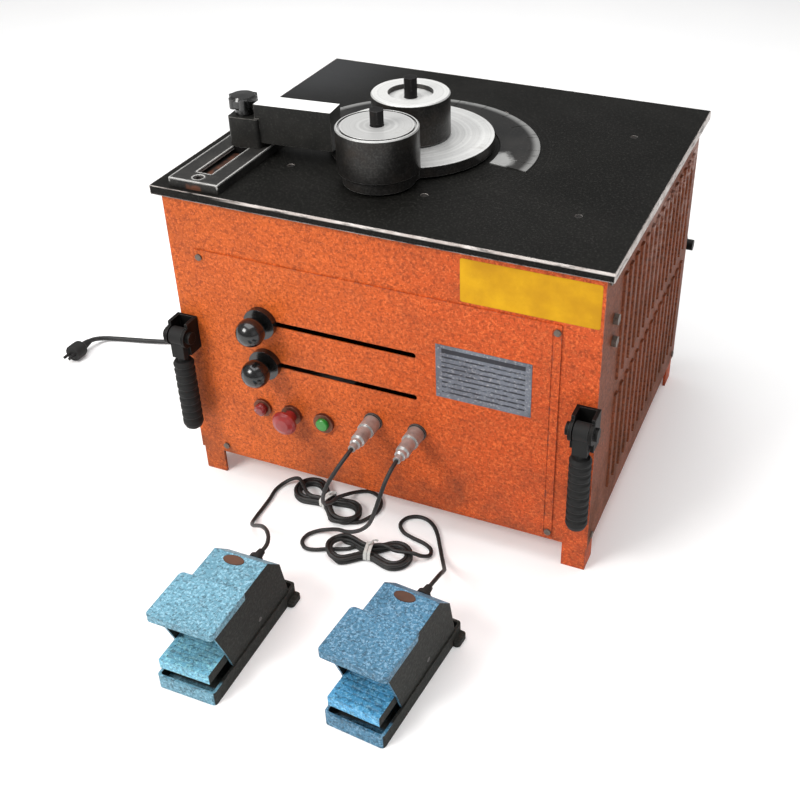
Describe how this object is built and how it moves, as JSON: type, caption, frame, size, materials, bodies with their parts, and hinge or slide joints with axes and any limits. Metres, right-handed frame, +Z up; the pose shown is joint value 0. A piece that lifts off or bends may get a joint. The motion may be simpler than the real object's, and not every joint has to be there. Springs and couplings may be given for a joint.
{
  "type": "rebar bender",
  "caption": "Bench-high powered rebar bender: black table with turntable, rollers and sliding fence, orange louvred body with knobs, buttons and folding handles, and foot pedals on cords.",
  "frame": {"origin": "on the floor, at the centre of the footprint of the machine with its handles and the two pedals", "axes": "+X to the machine's right as seen from its control panel, +Y from the control panel towards the back, +Z up"},
  "size_m": [0.9631, 0.993, 0.55],
  "materials": {
    "table_black": "satin, worn to bare steel along the edges",
    "body_orange": "semi-gloss",
    "cast_grey": "painted, rough",
    "bright_steel": "turned and ground",
    "gear_steel": "machined, oiled",
    "dark_steel": "black oxide",
    "zinc_steel": "zinc plated",
    "rack_bronze": "machined",
    "plate_aluminium": "printed, satin",
    "scale_grey": "satin",
    "black_rubber": "matt",
    "black_plastic": "gloss",
    "red_plastic": "gloss",
    "green_plastic": "gloss",
    "pedal_blue": "hammered enamel",
    "cord_rubber": "matt"
  },
  "bodies": {
    "machine": {"table_plate": "table_black", "corner_posts": "body_orange", "frame_rails": "body_orange", "bottom_plate": "body_orange", "front_panel": "body_orange", "control_panel": "body_orange", "left_cover": "body_orange", "right_cover": "body_orange", "back_cover": "body_orange", "panel_screws": "zinc_steel", "data_plate": "plate_aluminium", "angle_scale": "scale_grey", "gearbox_case": "cast_grey", "gearbox_lid": "cast_grey", "motor_case": "cast_grey", "shaft_bearings": "bright_steel", "fence_base": "table_black", "control_box": "cast_grey", "pilot_lamp": "red_plastic", "button_collars": "zinc_steel", "panel_sockets": "zinc_steel", "pedal_plugs": "zinc_steel", "cord_glands": "black_rubber", "handle_brackets": "table_black", "left_pedal_base": "pedal_blue", "right_pedal_base": "pedal_blue", "left_pedal_hood": "pedal_blue", "right_pedal_hood": "pedal_blue", "pedal_pins": "zinc_steel", "left_pedal_cord": "cord_rubber", "left_cord_hank": "cord_rubber", "right_pedal_cord": "cord_rubber", "right_cord_hank": "cord_rubber", "power_cord": "cord_rubber", "power_coil": "cord_rubber", "power_plug": "cord_rubber"},
    "turntable": {"spindle": "gear_steel", "turntable": "bright_steel", "spindle_gear": "gear_steel", "trip_gear": "gear_steel", "bending_pin": "dark_steel", "centre_pin": "dark_steel"},
    "centre_roller": {"centre_roller": "bright_steel"},
    "bending_roller": {"bending_roller": "bright_steel"},
    "second_shaft": {"second_gear": "gear_steel"},
    "motor_rotor": {"motor_rotor": "gear_steel"},
    "trip_rack": {"trip_rack": "rack_bronze"},
    "upper_angle_knob": {"upper_angle_knob": "black_plastic"},
    "lower_angle_knob": {"lower_angle_knob": "black_plastic"},
    "stop_button": {"stop_button": "red_plastic"},
    "start_button": {"start_button": "green_plastic"},
    "fence_slider": {"fence_slider": "dark_steel"},
    "fence_bar": {"fence_bar": "table_black"},
    "clamp_knob": {"clamp_knob": "black_plastic"},
    "handle_front_left": {"handle_front_left": "black_rubber"},
    "handle_front_right": {"handle_front_right": "black_rubber"},
    "handle_rear_left": {"handle_rear_left": "black_rubber"},
    "handle_rear_right": {"handle_rear_right": "black_rubber"},
    "left_treadle": {"left_treadle": "pedal_blue"},
    "right_treadle": {"right_treadle": "pedal_blue"}
  },
  "joints": [
    {"name": "turntable_turn", "type": "hinge", "parent": "machine", "child": "turntable", "pos_m": [-0.046, 0.137, 0.465], "axis": [0, 0, 1], "range_deg": [0, 180]},
    {"name": "centre_roller_spin", "type": "hinge", "parent": "turntable", "child": "centre_roller", "pos_m": [-0.046, 0.137, 0.5], "axis": [0, 0, 1], "continuous": true},
    {"name": "bending_roller_spin", "type": "hinge", "parent": "turntable", "child": "bending_roller", "pos_m": [-0.03777, 0.01929, 0.5], "axis": [0, 0, 1], "continuous": true},
    {"name": "second_shaft_turn", "type": "hinge", "parent": "machine", "child": "second_shaft", "pos_m": [0.08932, 0.18625, 0.356], "axis": [0, 0, 1], "range_deg": [-900, 0]},
    {"name": "motor_rotor_turn", "type": "hinge", "parent": "machine", "child": "motor_rotor", "pos_m": [0.19567, 0.205, 0.356], "axis": [0, 0, 1], "range_deg": [0, 4500]},
    {"name": "trip_rack_slide", "type": "slide", "parent": "machine", "child": "trip_rack", "axis": [1, 0, 0], "range_m": [0, 0.2074]},
    {"name": "upper_knob_slide", "type": "slide", "parent": "machine", "child": "upper_angle_knob", "axis": [1, 0, 0], "range_m": [0, 0.205]},
    {"name": "lower_knob_slide", "type": "slide", "parent": "machine", "child": "lower_angle_knob", "axis": [1, 0, 0], "range_m": [0, 0.205]},
    {"name": "stop_button_press", "type": "slide", "parent": "machine", "child": "stop_button", "axis": [0, 1, 0], "range_m": [0, 0.006], "stiffness_N_per_m": 500, "springref_m": -0.008},
    {"name": "start_button_press", "type": "slide", "parent": "machine", "child": "start_button", "axis": [0, 1, 0], "range_m": [0, 0.003], "stiffness_N_per_m": 500, "springref_m": -0.006},
    {"name": "fence_slide", "type": "slide", "parent": "machine", "child": "fence_slider", "axis": [0, 1, 0], "range_m": [-0.08, 0.017]},
    {"name": "fence_swivel", "type": "hinge", "parent": "fence_slider", "child": "fence_bar", "pos_m": [-0.24, 0.042, 0.48], "axis": [0, 0, 1], "range_deg": [-10, 10]},
    {"name": "clamp_knob_turn", "type": "hinge", "parent": "fence_slider", "child": "clamp_knob", "pos_m": [-0.24, 0.042, 0.52], "axis": [0, 0, 1], "range_deg": [0, 360]},
    {"name": "handle_front_left_swing", "type": "hinge", "parent": "machine", "child": "handle_front_left", "pos_m": [-0.28, -0.113, 0.246], "axis": [1, 0, 0], "range_deg": [-90, 0]},
    {"name": "handle_front_right_swing", "type": "hinge", "parent": "machine", "child": "handle_front_right", "pos_m": [0.28, -0.113, 0.246], "axis": [1, 0, 0], "range_deg": [-90, 0]},
    {"name": "handle_rear_left_swing", "type": "hinge", "parent": "machine", "child": "handle_rear_left", "pos_m": [-0.266, 0.441, 0.22], "axis": [1, 0, 0], "range_deg": [0, 90]},
    {"name": "handle_rear_right_swing", "type": "hinge", "parent": "machine", "child": "handle_rear_right", "pos_m": [0.266, 0.441, 0.22], "axis": [1, 0, 0], "range_deg": [0, 90]},
    {"name": "left_treadle_press", "type": "hinge", "parent": "machine", "child": "left_treadle", "pos_m": [-0.08, -0.346, 0.034], "axis": [1, 0, 0], "range_deg": [0, 6], "stiffness_Nm_per_rad": 4, "springref_deg": -11.46},
    {"name": "right_treadle_press", "type": "hinge", "parent": "machine", "child": "right_treadle", "pos_m": [0.13422, -0.32405, 0.034], "axis": [0.9962, -0.0872, 0], "range_deg": [0, 6], "stiffness_Nm_per_rad": 4, "springref_deg": -11.46}
  ],
  "couplings": [
    {"joint": "second_shaft_turn", "follows": "turntable_turn", "ratio": -5},
    {"joint": "motor_rotor_turn", "follows": "turntable_turn", "ratio": 25},
    {"joint": "trip_rack_slide", "follows": "turntable_turn", "m_per_rad": 0.066}
  ]
}
